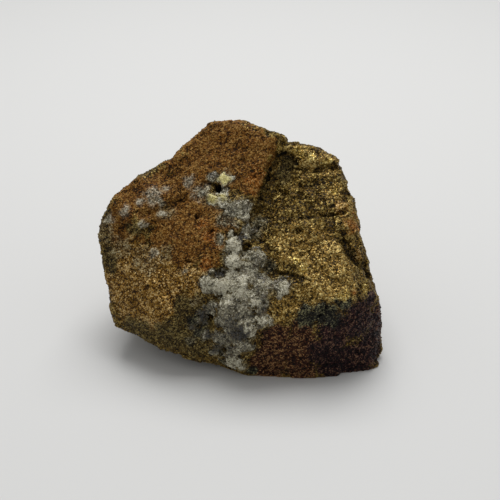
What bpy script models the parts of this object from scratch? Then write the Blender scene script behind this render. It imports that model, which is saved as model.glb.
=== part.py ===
"""A hand specimen of massive chalcopyrite with a quartz vein, broken out of the ore as one lump.

The lump is four overlapping blocks, each bounded by flat fracture faces and grown together into
one body. Its surface has the hackly break of granular ore, steps on the brassy block,
the crystal lumps of the quartz vein, and cracks, hollows and vugs. The underside is flat where
the lump rests.
Frame: +X to the lump's right, +Y to its back, +Z up, origin under the middle of its box.
"""

import bmesh
import bpy
from mathutils import Vector, noise

MM = 0.001

# Corners of the blocks, in millimetres above the rest plane.
RUSTY_SLAB = (
    # front face: crown, ledge, foot
    (-9.8, 14, 70.2), (-0.6, 15, 70.2), (12.3, 8, 68.3), (7.1, -3, 54.7), (1.1, -9, 47.0),
    (-2.0, -17, 38.5), (-10.7, -25, 31.0), (-21.7, -29, 21.5), (-41.5, -19, 12.0),
    # west side
    (-42.6, -15, 10.2), (-44.6, -11, 23.0), (-46.5, -4, 35.8), (-24.5, 8, 57.3), (-19.3, 10, 61.4),
    # underside, which hangs clear of the table
    (-35.6, -21, 8.2), (-23.3, -26, 5.6), (-15.8, -28, 4.2), (-4.5, -29, 2.0),
    # back
    (-14, 32, 54), (4, 34, 52), (18, 26, 53), (22, 24, 40), (-30, 28, 36), (-36, 18, 14),
    (-10, 38, 26), (-16, 30, 6),
)
WEST_SHOULDER = (
    (-46.3, -4, 36.5), (-45.1, -2, 40.7), (-41.9, 0, 48.1), (-34.8, 4, 53.4), (-28.5, 7, 55.5),
    (-31, -9, 42.5), (-22, -1, 50.5), (-21, 11, 59), (-34, 22, 46), (-42, 14, 38), (-38, 16, 20),
    (-20, 20, 40), (-44, -8, 28),
)
BRASSY_BLOCK = (
    # brassy face, from the ridge down to the rim
    (14.8, 12, 61.8), (23.2, 12.5, 61.6), (31.8, 8.5, 59.0), (33.6, 4.5, 57.8), (4.0, -8, 43.0),
    (32.0, -18, 35.5), (32.6, -30, 29.6), (20.2, -33, 26.1), (5.5, -34, 22.2),
    # east side
    (36.0, 4, 47.2), (39.3, 0, 35.9), (40.8, -3, 29.2), (43.7, -8, 22.1), (42.0, -22, 26.0),
    (46.5, -18, 12.2), (47.0, -20.5, 2.4), (45.8, -25.8, 1.0),
    # foot of the dark face
    (43.4, -28, -3), (30.4, -31.2, -3), (11.4, -32, -3), (0.7, -30.5, -3), (-6.0, -26, 1),
    # back and underside
    (26, 30, 50), (6, 36, 50), (36, 26, 34), (40, 22, 14), (8, 40, 24), (28, 36, 12),
    (40, 10, -3), (30, 30, -3), (0, 36, -3), (-18, 22, -3), (-16, -10, -3),
)
QUARTZ_VEIN = (
    (2, -12, 45), (-4.5, -19.5, 37.5), (8, -22, 36), (-10, -27, 27), (11.5, -30, 28.5),
    (-9, -30, 15), (4.5, -36, 20), (1.5, -33, 3.5), (-7, -29, 4.5), (-2, -12, 30), (4, -16, 12),
)

# Crystal lumps of the quartz, in millimetres: centre, radius, height.
LUMPS = (
    ((-1.7, -17.0, 40.5), 3.4, 1.7), ((-1.7, -21.0, 37.0), 3.6, 1.6), ((6.0, -19.0, 38.0), 5.0, 2.2),
    ((-5.7, -25.0, 30.7), 3.6, 1.9), ((-10.2, -24.0, 31.4), 3.4, 1.6), ((0.5, -26.0, 31.0), 4.6, 1.5),
    ((6.5, -26.0, 31.5), 4.0, 1.2), ((12.7, -25.5, 30.5), 4.4, 1.3), ((-4.4, -28.6, 26.0), 4.0, 1.5),
    ((4.8, -30.5, 27.0), 4.2, 1.2), ((-4.2, -31.0, 21.5), 4.6, 1.6), ((2.4, -34.0, 21.5), 3.8, 1.2),
    ((7.5, -33.5, 22.5), 3.2, 1.0), ((0.2, -33.8, 14.5), 4.6, 1.6), ((-3.6, -30.8, 6.5), 4.2, 1.8),
    ((0.8, -32.3, 4.5), 4.0, 1.6), ((-11.7, -27.0, 14.4), 3.6, 1.3), ((-14.1, -26.6, 19.5), 3.2, 1.1),
    ((-0.8, -12.5, 44.6), 2.8, 1.2), ((2.6, -11.0, 43.6), 2.6, 1.0), ((-8.2, -5.0, 52.0), 3.2, 1.2),
    ((-1.0, -7.2, 50.2), 3.4, 1.1), ((-28.0, 0.0, 50.5), 3.0, 1.0), ((-37.5, -3.8, 45.9), 2.8, 1.0),
)
# Cracks and recesses, in millimetres: from, to, half width, depth.
CRACKS = (
    ((-38.7, -6.2, 40.8), (-29.0, -5.5, 45.5), 1.9, 1.7),
    ((-29.0, -5.5, 45.5), (-17.6, -2.9, 49.6), 1.9, 1.5),
    ((20.0, 5.5, 56.5), (30.9, 4.0, 57.0), 2.2, 1.9),
    ((17.0, -8.5, 45.3), (33.0, -8.5, 47.0), 2.4, 1.0),
    ((32.6, -14.0, 42.0), (36.1, -17.7, 36.0), 3.0, 2.4),
    ((36.1, -17.7, 36.0), (41.6, -15.2, 28.1), 3.4, 2.6),
    ((15.0, 6.0, 57.5), (8.5, -6.0, 48.0), 6.5, 2.0),
)
# Hollows and vugs, in millimetres: centre, radius, depth.
HOLLOWS = (
    ((11.5, 3.5, 55.0), 8.5, 2.2), ((-6.9, -3.5, 52.8), 2.2, 2.8), ((-13.9, -8.3, 45.9), 1.8, 1.2),
    ((-8.7, -12.8, 43.3), 1.7, 1.2), ((2.0, -17.5, 38.8), 2.4, 3.6), ((-5.6, -22.5, 33.2), 2.6, 2.6),
    ((-6.5, -27.5, 28.0), 2.0, 2.2), ((-9.3, -27.0, 19.6), 2.4, 3.4), ((-6.2, -30.5, 9.6), 2.6, 2.8),
    ((4.0, -34.5, 16.8), 2.2, 2.2), ((18.5, -11.7, 42.7), 2.0, 1.6), ((9.5, -16.0, 39.0), 2.4, 1.4),
)
# How far cracks and hollows wander from their true shape, and over what length, in millimetres.
WANDER = 1.5
WANDER_LENGTH = 5

# The surface, in millimetres: (wavelength, height) of its waves, (grain, height) of its facets.
WAVES = ((17, 1.1), (8, 0.5))
FACETS = ((11, 0.9), (5, 0.5))
# Factors that give each facet a tilt and a level of its own, and the seed of the noise.
TILT_FACTOR = 5.1
LEVEL_FACTOR = 3.7
SEED = 3
# The rusty slab's front broke more smoothly than its back, which begins and ends over these Y.
SMOOTH_BREAK = 0.35
BACK_START, BACK_FULL = 0, 14
# The ledge between the slab and the brassy block leans to the right above this height.
DIVIDE_FOOT = 45
DIVIDE_LEAN = 0.5
DIVIDE_BLEND = 3
# The brassy block broke in patches of steps, in millimetres.
STEP_SPACING = 6.5
STEP_HEIGHT = 0.9
STEP_PATCH = 10
STEP_WARP_LENGTH = 13
# How far the steps bend out of level, in steps.
STEP_WARP = 1.3

# Mesh: voxel of the joined body, passes that round its edges, faces of the finished lump.
VOXEL = 1.2
SMOOTHING = 0.5
SMOOTH_PASSES = 2
TRIANGLES = 9600

GOLD_BROWN = (0.22, 0.12, 0.04, 1)
ROUGHNESS = 0.55
METALLIC = 0.6


def hull(name, corners, collection):
    """One convex block bounded by the fracture faces that its corners span."""
    shell = bmesh.new()
    for corner in corners:
        shell.verts.new(Vector(corner) * MM)
    made = bmesh.ops.convex_hull(shell, input=shell.verts)
    inner = {v for v in made["geom_interior"] if isinstance(v, bmesh.types.BMVert)}
    bmesh.ops.delete(shell, geom=list(inner), context="VERTS")
    bmesh.ops.recalc_face_normals(shell, faces=shell.faces)
    mesh = bpy.data.meshes.new(name)
    shell.to_mesh(mesh)
    shell.free()
    block = bpy.data.objects.new(name, mesh)
    collection.objects.link(block)
    return block


def apply_modifiers(rock):
    """Turns what the modifiers make into the object's own mesh."""
    graph = bpy.context.evaluated_depsgraph_get()
    rock.data = bpy.data.meshes.new_from_object(rock.evaluated_get(graph))
    rock.modifiers.clear()


def eased(share):
    """1 at the middle of a hollow or lump, falling smoothly to 0 at its edge."""
    inside = max(0.0, 1.0 - share * share)
    return inside * inside


def eased_step(low, high, value):
    """0 below low, 1 above high, and a smooth rise between."""
    share = max(0.0, min(1.0, (value - low) / (high - low)))
    return share * share * (3 - 2 * share)


def off_line(point, start, end):
    """Distance from a point to the stretch of line between start and end."""
    along = end - start
    share = max(0.0, min(1.0, (point - start).dot(along) / along.length_squared))
    return (point - start - along * share).length


def sunk(point):
    """How far the cracks and hollows take the surface in at a point."""
    wandered = point + WANDER * noise.noise_vector(point / WANDER_LENGTH)
    depths = [0.0]
    for start, end, half_width, depth in CRACKS:
        share = off_line(wandered, Vector(start), Vector(end)) / half_width
        depths.append(depth * eased(share))
    for centre, radius, depth in HOLLOWS:
        depths.append(depth * eased((wandered - Vector(centre)).length / radius))
    return max(depths)


def raised(point):
    """How far the crystal lumps stand out at a point."""
    heights = [height * eased((point - Vector(centre)).length / radius)
               for centre, radius, height in LUMPS]
    return max(heights)


def hackly(point, grain):
    """Height of a broken granular surface: each grain's facet has a level and a tilt of its own."""
    place = point / grain
    centre = noise.voronoi(place)[1][0]
    tilt = noise.noise_vector(centre * TILT_FACTOR)
    return noise.noise(centre * LEVEL_FACTOR) + tilt.dot(place - centre)


def brassy_side(point):
    """0 on the rusty slab and 1 on the brassy block, right of the leaning ledge."""
    divide = max(0.0, (point.z - DIVIDE_FOOT) * DIVIDE_LEAN)
    return eased_step(-DIVIDE_BLEND, DIVIDE_BLEND, point.x - divide)


def steps(point):
    """Height of the steps, each of which falls back slowly as it rises to the next."""
    level = point.z / STEP_SPACING + STEP_WARP * noise.noise(point / STEP_WARP_LENGTH)
    patch = max(0.0, noise.noise(point / STEP_PATCH))
    return STEP_HEIGHT * patch * (1 - level % 1)


def relief(point):
    """How far out of the smooth blocks the surface stands at a point, in millimetres."""
    brassy = brassy_side(point)
    behind = eased_step(BACK_START, BACK_FULL, point.y)
    coarse = SMOOTH_BREAK + (1 - SMOOTH_BREAK) * max(brassy, behind)
    height = sum(size * noise.noise(point / length) for length, size in WAVES)
    height += coarse * sum(size * hackly(point, grain) for grain, size in FACETS)
    return height + brassy * steps(point) + raised(point) - sunk(point)


def roughen(rock):
    """Moves every point of the lump out or in along its normal by the relief there."""
    moved = [v.co + v.normal * relief(v.co / MM) * MM for v in rock.data.vertices]
    for vertex, place in zip(rock.data.vertices, moved):
        vertex.co = place
    rock.data.update()


def cut_underside(rock):
    """Cuts the lump off flat at the rest plane and closes it there."""
    body = bmesh.new()
    body.from_mesh(rock.data)
    everything = body.verts[:] + body.edges[:] + body.faces[:]
    bmesh.ops.bisect_plane(body, geom=everything, plane_co=(0, 0, 0), plane_no=(0, 0, 1),
                           clear_inner=True)
    bmesh.ops.holes_fill(body, edges=[e for e in body.edges if e.is_boundary], sides=0)
    bmesh.ops.triangulate(body, faces=body.faces)
    bmesh.ops.recalc_face_normals(body, faces=body.faces)
    body.to_mesh(rock.data)
    body.free()


def centre_over_origin(rock):
    """Moves the lump sideways until the middle of its box stands over the origin."""
    for axis in range(2):
        places = [v.co[axis] for v in rock.data.vertices]
        middle = (min(places) + max(places)) / 2
        for vertex in rock.data.vertices:
            vertex.co[axis] -= middle


def coloured(rock):
    """Gives the lump the dull brassy brown of weathered ore."""
    material = bpy.data.materials.new("weathered_ore")
    material.use_nodes = True
    shader = material.node_tree.nodes["Principled BSDF"]
    shader.inputs["Base Color"].default_value = GOLD_BROWN
    shader.inputs["Roughness"].default_value = ROUGHNESS
    shader.inputs["Metallic"].default_value = METALLIC
    rock.data.materials.clear()
    rock.data.materials.append(material)


def main():
    for old in list(bpy.data.objects):
        bpy.data.objects.remove(old)
    specimen = bpy.data.collections.new("chalcopyrite_specimen")
    blocks = bpy.data.collections.new("blocks")
    for collection in (specimen, blocks):
        bpy.context.scene.collection.children.link(collection)

    rock = hull("chalcopyrite_rock", BRASSY_BLOCK, specimen)
    grown_on = (("rusty_slab", RUSTY_SLAB), ("west_shoulder", WEST_SHOULDER),
                ("quartz_vein", QUARTZ_VEIN))
    for name, corners in grown_on:
        block = hull(name, corners, blocks)
        block.hide_render = True
        block.display_type = "WIRE"
        join = rock.modifiers.new(name, "BOOLEAN")
        join.operation = "UNION"
        join.solver = "EXACT"
        join.object = block
    remesh = rock.modifiers.new("even_mesh", "REMESH")
    remesh.mode = "VOXEL"
    remesh.voxel_size = VOXEL * MM
    rounding = rock.modifiers.new("rounded_edges", "SMOOTH")
    rounding.factor = SMOOTHING
    rounding.iterations = SMOOTH_PASSES
    apply_modifiers(rock)

    noise.seed_set(SEED)
    roughen(rock)
    rock.data.calc_loop_triangles()
    thin = rock.modifiers.new("fewer_faces", "DECIMATE")
    thin.ratio = TRIANGLES / len(rock.data.loop_triangles)
    apply_modifiers(rock)
    cut_underside(rock)
    centre_over_origin(rock)
    coloured(rock)


main()
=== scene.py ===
import math

import bmesh
import bpy
import numpy as np
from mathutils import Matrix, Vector, noise


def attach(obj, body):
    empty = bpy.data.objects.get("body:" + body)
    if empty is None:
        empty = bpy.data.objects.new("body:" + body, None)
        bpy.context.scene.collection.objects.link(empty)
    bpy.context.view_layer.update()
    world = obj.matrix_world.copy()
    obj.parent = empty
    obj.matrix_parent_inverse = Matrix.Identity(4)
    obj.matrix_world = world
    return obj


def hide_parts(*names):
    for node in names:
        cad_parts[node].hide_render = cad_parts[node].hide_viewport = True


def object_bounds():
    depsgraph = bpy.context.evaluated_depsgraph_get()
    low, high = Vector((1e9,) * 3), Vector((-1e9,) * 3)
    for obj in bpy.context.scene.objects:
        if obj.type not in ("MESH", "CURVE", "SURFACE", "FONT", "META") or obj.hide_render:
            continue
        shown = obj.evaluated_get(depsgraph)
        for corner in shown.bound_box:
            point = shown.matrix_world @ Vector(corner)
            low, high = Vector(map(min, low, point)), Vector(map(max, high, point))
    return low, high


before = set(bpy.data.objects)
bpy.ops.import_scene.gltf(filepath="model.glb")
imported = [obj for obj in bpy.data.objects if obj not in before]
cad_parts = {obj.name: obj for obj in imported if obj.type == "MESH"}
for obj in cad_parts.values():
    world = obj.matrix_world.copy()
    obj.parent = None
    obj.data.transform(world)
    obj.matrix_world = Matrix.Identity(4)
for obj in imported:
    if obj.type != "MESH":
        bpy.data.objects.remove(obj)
cad_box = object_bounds()

# --- The broken ore ---------------------------------------------------------------------------
# One lump of massive chalcopyrite, hammered out of its vein. It breaks along its interlocking
# grains, so its faces are hackly. Weathering left rust on the slab, olive and grey films low on
# the left, and a purple-black bloom on the lower right.

MM = 0.001
SEED = 5

# The skin: its voxels, the passes that round it, the triangles that it keeps, the passes that
# find its smooth run, and how near points of loose triangles are joined.
SKIN_VOXEL = 0.42 * MM
SKIN_ROUNDING = 5
SKIN_TRIANGLES = 190000
SKIN_PROUD_PASSES = 10
JOIN_DISTANCE = 0.01 * MM

# The break: coarse and fine grains, and ripples drawn out along a slope. It fades out in a band
# above the foot, which stays flat on the table.
BREAK_GRAIN = 2.6 * MM
BREAK_HEIGHT = 0.6 * MM
GRAIN = 1.0 * MM
GRAIN_HEIGHT = 0.25 * MM
RIPPLE_LENGTH = 2.6 * MM
RIPPLE_HEIGHT = 1.3 * MM
RIPPLE_SLOPE = math.radians(25)
RIPPLE_STRETCH = 2.6
BASE_BAND = 1.2 * MM

# Zones are groups of round patches. Their edges wander this far over this length, in
# millimetres, and each patch fades out over this share of its radius. A thin film lies round
# the vein, out to this many times the radius of its patches.
ZONE_WANDER = 1.6
ZONE_WANDER_LENGTH = 2.6
ZONE_EDGE = 0.7
FILM_SPREAD = 1.2

# Where each finish lies, in millimetres: x, y, z and the patch's radius. "vein" is where quartz
# stands out of the ore, "sulphur" its yellow stain, and "shade" the hollows that are painted a
# little darker, as painted shade.
ZONES = {
    "ochre": (
        (-34, -22, 22, 9), (-24, -26, 26, 7), (-39, -17, 25, 7), (-29, -27, 20, 6), (-36, -12, 34, 6),
        (-28, -17, 32, 7), (-20, -22, 32, 6), (-14, -25, 31, 4), (-42, 8, 24, 10), (-28, 27, 18, 9),
        (-8, 35, 20, 6), (33, -8, 49, 3), (35, -12, 44, 3), (37, -18, 36, 2),
    ),
    "brass": (
        (22, 5, 60, 4), (28, 4, 58, 4), (17, 7, 61, 3), (30, -3, 51, 3), (16, -17, 40, 6),
        (23, -18, 40, 7), (29, -24, 36, 7), (25, -29, 32, 6), (15, -32, 28, 5), (32, -29, 32, 5),
        (12, -34, 25, 4), (37, -6, 46, 4), (12, 2, 57, 4), (22, 31, 34, 9), (30, 24, 45, 8),
        (12, 36, 26, 6), (38, 10, 44, 7), (-34, 18, 42, 6), (4, 20, 64, 5),
    ),
    "rust": (
        (-9, 5, 62, 9), (0, 3, 63, 9), (-5, 9, 68, 6), (-2, -2, 58, 6), (7, 2, 63, 6),
        (3, -5, 55, 4), (-16, 1, 56, 7), (-25, 0, 52, 6), (-33, -2, 50, 6), (-39, -7, 46, 5),
        (-20, -10, 44, 7), (-12, -12, 45, 7), (-10, -18, 41, 5), (-18, -18, 38, 5),
        (-25, -12, 41, 5), (-29, -7, 46, 4), (-18, -6, 48, 6), (-37, 0, 50, 4), (-22, 7, 58, 4),
        (-15, 10, 64, 5), (-8, 15, 65, 6), (-4, -14, 46, 3), (-8, -19, 40, 3), (-9, -21, 37, 2.5),
        (-28, 22, 34, 10), (-16, 18, 58, 6), (39, 0, 33, 3.5), (39, 5, 29, 4), (39, 11, 33, 3.5),
        (41, -4, 27, 2.5), (38, 15, 27, 3), (26, 29, 18, 7), (-40, -9, 40, 4), (-36, -8, 42, 2.5),
        (-33, -11, 39, 2),
    ),
    "orange": (
        (-10, -16, 42, 3), (-12, -12, 44, 2), (3, -4, 56, 2), (6, -3, 57, 3), (6, -4, 55, 2.4),
        (33, 5, 55, 1.5), (4, -7, 53, 1.5), (35, -29, 30, 1.2), (36, -12, 44, 2.4), (37, -7, 46, 2),
        (38, -9, 42, 2), (-7, -18, 41, 2), (-11, -22, 36, 2.6), (33, -31, 7, 2.2), (-30, 20, 30, 3),
    ),
    "olive": (
        (-33, -25, 12, 6), (-23, -30, 13, 6), (-15, -31, 11, 5), (-18, -30, 20, 4),
        (-12, -30, 16, 4), (-14, -28, 24, 3), (-43, -11, 31, 4), (-45, 0, 43, 4), (-38, 6, 47, 4),
        (-30, 11, 52, 5), (-22, 14, 56, 4), (10, 8, 67, 2), (15, 6, 57, 2.6), (14, 3, 54, 3),
        (-12, 30, 46, 9), (38, 22, 30, 8), (10, 33, 8, 9), (-34, -8, 41, 3), (-18, -29, 25, 3.5),
    ),
    "grey": (
        (-39, -11, 35, 4), (-32, -14, 35, 3), (-24, -16, 36, 3), (-44, -6, 38, 4),
        (-33, -15, 32, 3), (-43, 14, 36, 6), (12, 30, 50, 5), (-24, 30, 8, 6), (-24, -7, 46, 3),
        (-30, -17, 32, 4), (-14, -29, 26, 2.5),
    ),
    "russet": (
        (19, -35, 12, 7), (11, -35, 12, 6), (8, -34, 5, 6), (19, -34, 20, 4), (11, -36, 18, 4),
        (19, -35, 3, 5), (41, 6, 18, 4.5), (39, 14, 17, 6), (32, 29, 10, 8), (-38, 18, 12, 7),
    ),
    "bloom": (
        (37, -31, 20, 7), (30, -33, 18, 6), (43, -27, 8, 7), (28, -34, 10, 7), (36, -31, 4, 7),
        (42, -26, 25, 3), (45, -23, 16, 6), (30, -34, 3, 5), (42, -14, 14, 9), (44, -4, 9, 5),
        (42, 4, 6, 4),
    ),
    "soot": (
        (21, -34, 24, 4), (26, -34, 25, 4), (32, -33, 28, 3), (29, -34, 22, 3), (43, -9, 22, 2.6),
        (43, -3, 18, 2.6), (-6, -34, 4, 3), (-14, -30, 19, 3), (-13, -30, 15, 2.4),
        (3, -35, 2, 2.5),
    ),
    # Hollows and recesses that are painted a little darker: painted shade.
    "shade": (
        (5, -7, 49, 2), (15, 6, 57, 2.5), (14, 3, 54, 2.5),
        (26, 4, 56, 2), (31, 4, 58, 1.5), (27, -10, 46, 2), (32, -16, 39, 2), (34, -18, 36, 2),
        (36, -22, 34, 2), (17, -23, 34, 2), (-9, -4, 54, 1.8), (-17, -30, 17, 4), (-22, -30, 14, 4),
    ),
    "vein": (
        (-6, -6, 52, 2), (-9, -8, 51, 2.2), (-6, -9, 50, 2.4), (-3, -10, 49, 3), (1, -11, 49, 3),
        (2, -12, 47, 2.2), (3, -14, 44, 2.4), (2, -16, 43, 1.8), (-1, -18, 42, 2.2),
        (-2, -22, 39, 3), (-2, -20.5, 40, 3.6), (-2, -24, 38, 3.5), (-3, -18, 43, 2),
        (2, -24, 36, 2.5), (-6, -24, 33, 2.2), (-9, -24, 34, 1.6), (-6, -17, 42, 1.2),
        (-5, -3, 56, 2.2), (-9, -2, 56, 1.8), (-13, -5, 52, 2), (-3, -3, 56, 1.5), (-9, -29, 23, 2),
        (3, -22, 38, 2.5), (6, -24, 39, 4), (4, -26, 34, 3), (-2, -27, 33, 4), (-6, -29, 31, 3.2),
        (-10, -27, 32, 3.2), (0, -30, 30, 4), (7, -28, 33, 3.5), (13, -28, 31, 3.2),
        (5, -32, 29, 4), (-1, -32, 26, 4), (-5, -32, 27, 3), (-5, -34, 23, 4), (1, -36, 23, 4),
        (7, -36, 24, 2.5), (-2, -36, 18, 4), (3, -37, 19, 2.2), (1, -37, 14, 3), (-3, -34, 11, 3),
        (-6, -33, 15, 3), (-3, -34, 7, 3), (0, -35, 6, 1.9), (-12, -29, 20, 2), (-11, -31, 14, 2),
        (-8, -32, 9, 2.3), (-9, -30, 26, 1.8), (-14, -31, 17, 1.8), (5, 26, 58, 2),
        (4, 31, 54, 2.6), (3, 33, 50, 2), (2, 33, 46, 3.2), (0, 32, 42, 2.2), (2, 33, 38, 3),
        (3, 34, 34, 2.2), (5, 35, 30, 2), (0, 32, 30, 3), (-2, 31, 26, 2.2), (-3, 29, 22, 3.2),
        (-6, 28, 18, 2.4), (-6, 28, 13, 3), (-8, 28, 8, 2), (-9, 28, 3, 2.6),
    ),
    "smear": (
        (-28.5, -3, 50, 3.2), (-27, -1, 52, 1.8), (-26, -5, 48, 1.8), (-38, -7, 46, 2.2),
        (-31, -10, 43, 1.8), (-25.5, -7, 46, 1.3), (-33, -4, 48, 1.6), (-43, -5, 43, 2.4),
        (-13, -5, 52, 3.2), (-17, -1, 54, 2.2), (-24, -1, 51, 1.4), (-17, -22, 33, 1.2),
        (-28, -15, 35, 2),
    ),
    "film": (
        (6, -10, 44, 3), (5, -13, 42, 2.5), (-5, -13, 46, 2.6), (-2, -14, 46, 2), (9, -22, 35, 2.5),
        (-7, -17, 42, 2), (-16, -31, 12, 2), (8, -28, 32, 4),
    ),
    # Bright grains where facets catch the lamp: a real metal gloss, and a painted highlight in their
    # light colours.
    "gold": (
        (30, -3, 51, 1.5), (17, -22, 37, 1.5), (20, -24, 35, 1.5), (32, -32, 30, 2),
        (39, -25, 28, 1.8), (23, 5, 60, 1.8), (28, 4, 58, 1.5), (18, 7, 61, 2), (12, 6, 63, 1.8),
        (9.5, 2, 61, 1.1), (8, -1, 58.5, 1), (36, -31, 17, 0.6),
    ),
    "sulphur": ((-5, -3, 56, 1.9), (-9, -7, 51, 2), (-6, -7, 51, 1.5), (-10, -6, 52, 1.4)),
}

# How strongly the surface breaks in a finish, where 1 is bare ore.
BREAK_STRENGTH = {"rust": 0.45, "ochre": 0.55, "brass": 0.75, "bloom": 0.6, "russet": 0.6,
                  "vein": 0.4, "olive": 0.7, "grey": 0.6}
LEAST_STRENGTH = 0.3

# Low dents in the block, in millimetres: x, y, z, radius and depth. A negative depth is a swelling.
DENTS = (
    (16, 9, 63, 3, -1.2), (19, 9, 62, 3, -1.3), (22, 9, 61, 2.5, -1.1), (36, -4, 50, 4, 1.5),
    (38, -2, 46, 5, 1.8), (37, 1, 49.5, 4, 1.5), (40, -16, 35, 4, 0.7), (44, -19, 25, 4, 0.7),
    (46, -26, 4, 4, 0.8), (-45, -14, 20, 5, 0.8), (9, 8, 69, 4, 0.7),
)

# Small pits, in the same form. The material paints each pit darker the deeper it is: painted shade.
PITS = (
    (-7, -4, 52, 1.1, 1), (1.7, -21.2, 38.7, 1.2, 1.6), (-6, -24, 32, 0.7, 0.6),
    (-6.1, -28.9, 28.8, 1.4, 1.6), (-9.3, -29.7, 20.8, 1.4, 2.0), (-6.0, -32.1, 8.2, 1.4, 1.6),
    (2.3, -36.6, 17.2, 1.0, 1.6), (-14.3, -10.1, 45.9, 0.9, 0.9), (-9.1, -15.0, 43.5, 0.9, 0.9),
    (18.2, -13.1, 42.4, 0.8, 0.4), (7.5, -32.2, 28.0, 1.0, 1.0),
)

# Cracks, in millimetres: half the width, the depth, and the points along each. A crack is cut as
# a row of pits, this far apart, and is painted darker with depth like them: painted shade.
CRACK_STEP = 0.4
CRACKS = (
    (0.55, 0.35, ((-34, -7, 46), (-29, -6, 47))),
    (0.6, 0.4, ((-25.5, -5, 48), (-19, -4, 48.5))),
    (0.5, 0.3, ((-40, -9, 37), (-36.5, -10, 39.5), (-33.5, -10, 41.5))),
    (0.7, 0.6, ((10.5, -24, 34.2), (14, -24, 33.3), (21.5, -27.4, 33))),
    (0.9, 0.6, ((22.4, 2.3, 56), (30.5, 3.7, 57.7))),
    (1.2, 0.7, ((32.5, -14.7, 40), (36, -18, 35), (41.5, -15.3, 27))),
    (0.8, 0.4, ((19, -10, 45.2), (26, -10, 46), (33, -9.3, 47))),
    (0.6, 0.7, ((-17.5, -20.5, 36), (-14, -21.2, 35.4))),
    (1.0, 0.8, ((18, 5, 57.5), (15, 7, 60), (12.5, 6, 59.5), (10.5, 4, 57), (9.5, 2, 54), (7, -4, 50),
                (6, -7, 49))),
    (0.9, 0.6, ((-12, -2.5, 54.5), (-8, -3.5, 54), (-6, -4.5, 53))),
)

noise.seed_set(SEED)


def linear(hex_colour):
    """An sRGB hex colour as the linear RGBA that shaders take."""
    parts = [int(hex_colour[i:i + 2], 16) / 255 for i in (1, 3, 5)]
    return [c / 12.92 if c <= 0.04045 else ((c + 0.055) / 1.055) ** 2.4 for c in parts] + [1.0]


def add(tree, kind, links=None, stops=(), **settings):
    """Adds a node. links gives its inputs a value or another node's output, stops a ramp's colours."""
    made = tree.nodes.new(kind)
    for name, value in settings.items():
        setattr(made, name, value)
    for socket, value in (links or {}).items():
        if isinstance(value, bpy.types.NodeSocket):
            tree.links.new(value, made.inputs[socket])
        else:
            made.inputs[socket].default_value = value
    if stops:
        points = made.color_ramp.elements
        while len(points) < len(stops):
            points.new(1.0)
        for point, (place, colour) in zip(points, stops):
            point.position = place
            point.color = linear(colour)
    return made


def summed(tree, start, terms):
    """start plus each value times its weight, where a value's middle is 0.5."""
    total = start
    for value, weight in terms:
        part = add(tree, "ShaderNodeMath", {0: value, 1: weight, 2: -0.5 * weight},
                   operation="MULTIPLY_ADD")
        total = add(tree, "ShaderNodeMath", {0: total, 1: part.outputs[0]}, operation="ADD").outputs[0]
    return total


def new_object(name, mesh):
    """An object with this mesh, in the scene."""
    made = bpy.data.objects.new(name, mesh)
    bpy.context.scene.collection.objects.link(made)
    return made


def make_plain(obj):
    """Gives an object the mesh that its modifiers make, and removes them."""
    bpy.context.view_layer.update()
    obj.data = bpy.data.meshes.new_from_object(obj.evaluated_get(bpy.context.evaluated_depsgraph_get()))
    obj.modifiers.clear()


def refined(obj, kind, **settings):
    """Applies one modifier of this kind."""
    modifier = obj.modifiers.new(kind.lower(), kind)
    for name, value in settings.items():
        setattr(modifier, name, value)
    make_plain(obj)


def merged(mesh):
    """A copy of a node's mesh with its loose triangles joined."""
    shell = bmesh.new()
    shell.from_mesh(mesh)
    bmesh.ops.remove_doubles(shell, verts=shell.verts, dist=JOIN_DISTANCE)
    joined = bpy.data.meshes.new("joined")
    shell.to_mesh(joined)
    shell.free()
    return joined


def triangle_count(mesh):
    """How many triangles the mesh's faces make."""
    return sum(len(face.vertices) - 2 for face in mesh.polygons)


def places_of(mesh):
    """The mesh's points as rows of x, y, z in millimetres."""
    flat = np.empty(len(mesh.vertices) * 3, np.float32)
    mesh.vertices.foreach_get("co", flat)
    return flat.reshape(-1, 3) / MM


def normals_of(mesh):
    """The normals at the mesh's points, as rows."""
    flat = np.empty(len(mesh.vertices) * 3, np.float32)
    mesh.vertices.foreach_get("normal", flat)
    return flat.reshape(-1, 3)


def wandering(places):
    """The places moved about by smooth noise, so that what is measured from them has uneven edges."""
    moves = [noise.noise_vector(Vector(p) / ZONE_WANDER_LENGTH) for p in places]
    return places + ZONE_WANDER * np.array(moves, np.float32)


def zone_share(places, patches):
    """How far each place lies inside a zone: 1 well inside its patches, 0.5 on their edge, then 0."""
    share = np.zeros(len(places), np.float32)
    for x, y, z, radius in patches:
        away = np.linalg.norm(places - (x, y, z), axis=1) / radius
        share = np.maximum(share, np.clip(0.5 + (1 - away) / ZONE_EDGE, 0, 1))
    return share


def keep(mesh, name, values):
    """Stores a number for each point under this name."""
    mesh.attributes.new(name, "FLOAT", "POINT").data.foreach_set("value", values)


def keep_zones(mesh):
    """Stores each point's share in every zone, and how strongly the surface breaks there."""
    places = wandering(places_of(mesh))
    strength = np.ones(len(places), np.float32)
    beside_vein = tuple((x, y, z, FILM_SPREAD * radius) for x, y, z, radius in ZONES["vein"])
    for name, patches in ZONES.items():
        share = zone_share(places, patches + beside_vein if name == "film" else patches)
        keep(mesh, name, share)
        strength += (BREAK_STRENGTH.get(name, 1) - 1) * share
    keep(mesh, "strength", np.clip(strength, LEAST_STRENGTH, 1))


def crack_marks():
    """Each crack as a row of small overlapping pits."""
    marks = []
    for radius, depth, path in CRACKS:
        for start, end in zip(path, path[1:]):
            start, end = Vector(start), Vector(end)
            steps = int((end - start).length / CRACK_STEP)
            marks += [(*start.lerp(end, i / steps), radius, depth) for i in range(steps + 1)]
    return marks


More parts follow.
